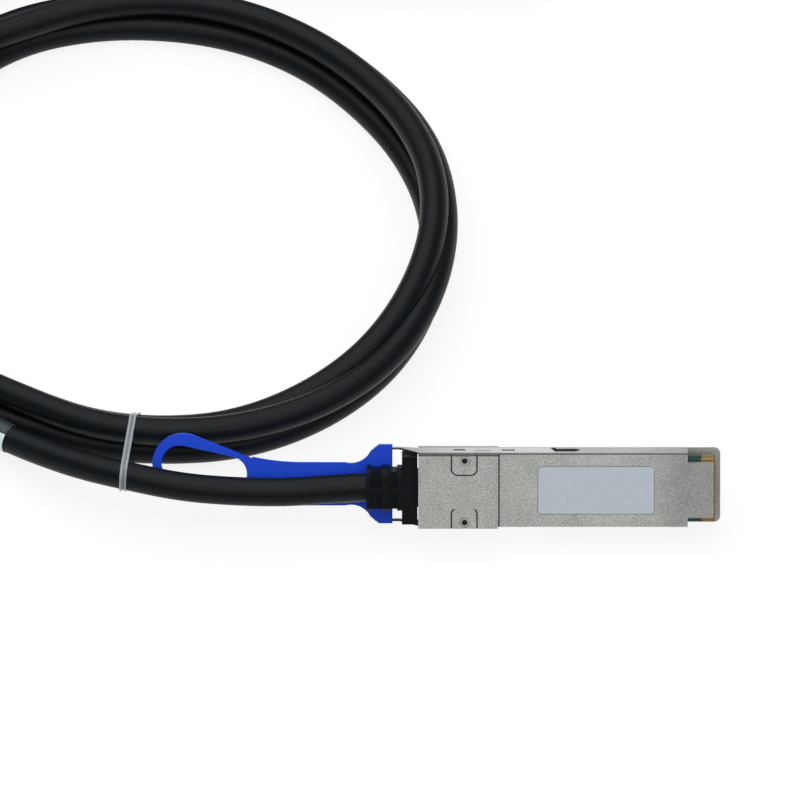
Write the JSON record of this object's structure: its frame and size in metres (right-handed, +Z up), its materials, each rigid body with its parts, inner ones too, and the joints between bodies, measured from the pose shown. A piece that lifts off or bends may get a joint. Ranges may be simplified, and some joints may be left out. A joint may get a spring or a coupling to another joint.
{
  "type": "direct attach copper cable",
  "caption": "Coiled black twinaxial cable with a metal pluggable connector at each end, blue pull tabs on sliding latches, and a clear tie round the coil.",
  "frame": {"origin": "on the first plug's axis at its stop face, where the rear block meets the slim body", "axes": "+X along the first plug towards its nose, +Z up; the coil and both plugs lie on the surface at z = -11 mm"},
  "size_m": [0.2526, 0.198, 0.0218],
  "materials": {
    "cast_metal": "satin",
    "sheet_metal": "satin",
    "spring_wire": "satin",
    "screw_metal": "satin",
    "ferrule_metal": "satin",
    "gold": "polished",
    "blue_plastic": "gloss",
    "boot_rubber": "satin",
    "cable_jacket": "satin",
    "wire_plastic": "satin",
    "green_board": "satin",
    "chip_plastic": "matte",
    "label_film": "satin",
    "tie_film": "gloss"
  },
  "bodies": {
    "cable_assembly": {"heat_shell_a": "cast_metal", "label_shell_a": "cast_metal", "return_springs_a": "spring_wire", "shell_screws_a": "screw_metal", "boot_a": "boot_rubber", "paddle_card_a": "green_board", "contact_pads_a": "gold", "memory_chip_a": "chip_plastic", "crimp_ferrule_a": "ferrule_metal", "wire_pairs_a": "wire_plastic", "id_label_a": "label_film", "heat_shell_b": "cast_metal", "label_shell_b": "cast_metal", "return_springs_b": "spring_wire", "shell_screws_b": "screw_metal", "boot_b": "boot_rubber", "paddle_card_b": "green_board", "contact_pads_b": "gold", "memory_chip_b": "chip_plastic", "crimp_ferrule_b": "ferrule_metal", "wire_pairs_b": "wire_plastic", "id_label_b": "label_film", "cable_lead_a": "cable_jacket", "cable_lead_b": "cable_jacket", "cable_coil": "cable_jacket", "twist_tie": "tie_film"},
    "latch_a": {"latch_slider_a": "sheet_metal", "pull_tab_a": "blue_plastic"},
    "latch_b": {"latch_slider_b": "sheet_metal", "pull_tab_b": "blue_plastic"}
  },
  "joints": [
    {"name": "latch_slide_a", "type": "slide", "parent": "cable_assembly", "child": "latch_a", "axis": [-1, 0, 0], "range_m": [0, 0.003], "stiffness_N_per_m": 600, "springref_m": -0.002, "deforming": ["return_springs_a"]},
    {"name": "latch_slide_b", "type": "slide", "parent": "cable_assembly", "child": "latch_b", "axis": [-1, 0, 0], "range_m": [0, 0.003], "stiffness_N_per_m": 600, "springref_m": -0.002, "deforming": ["return_springs_b"]}
  ]
}
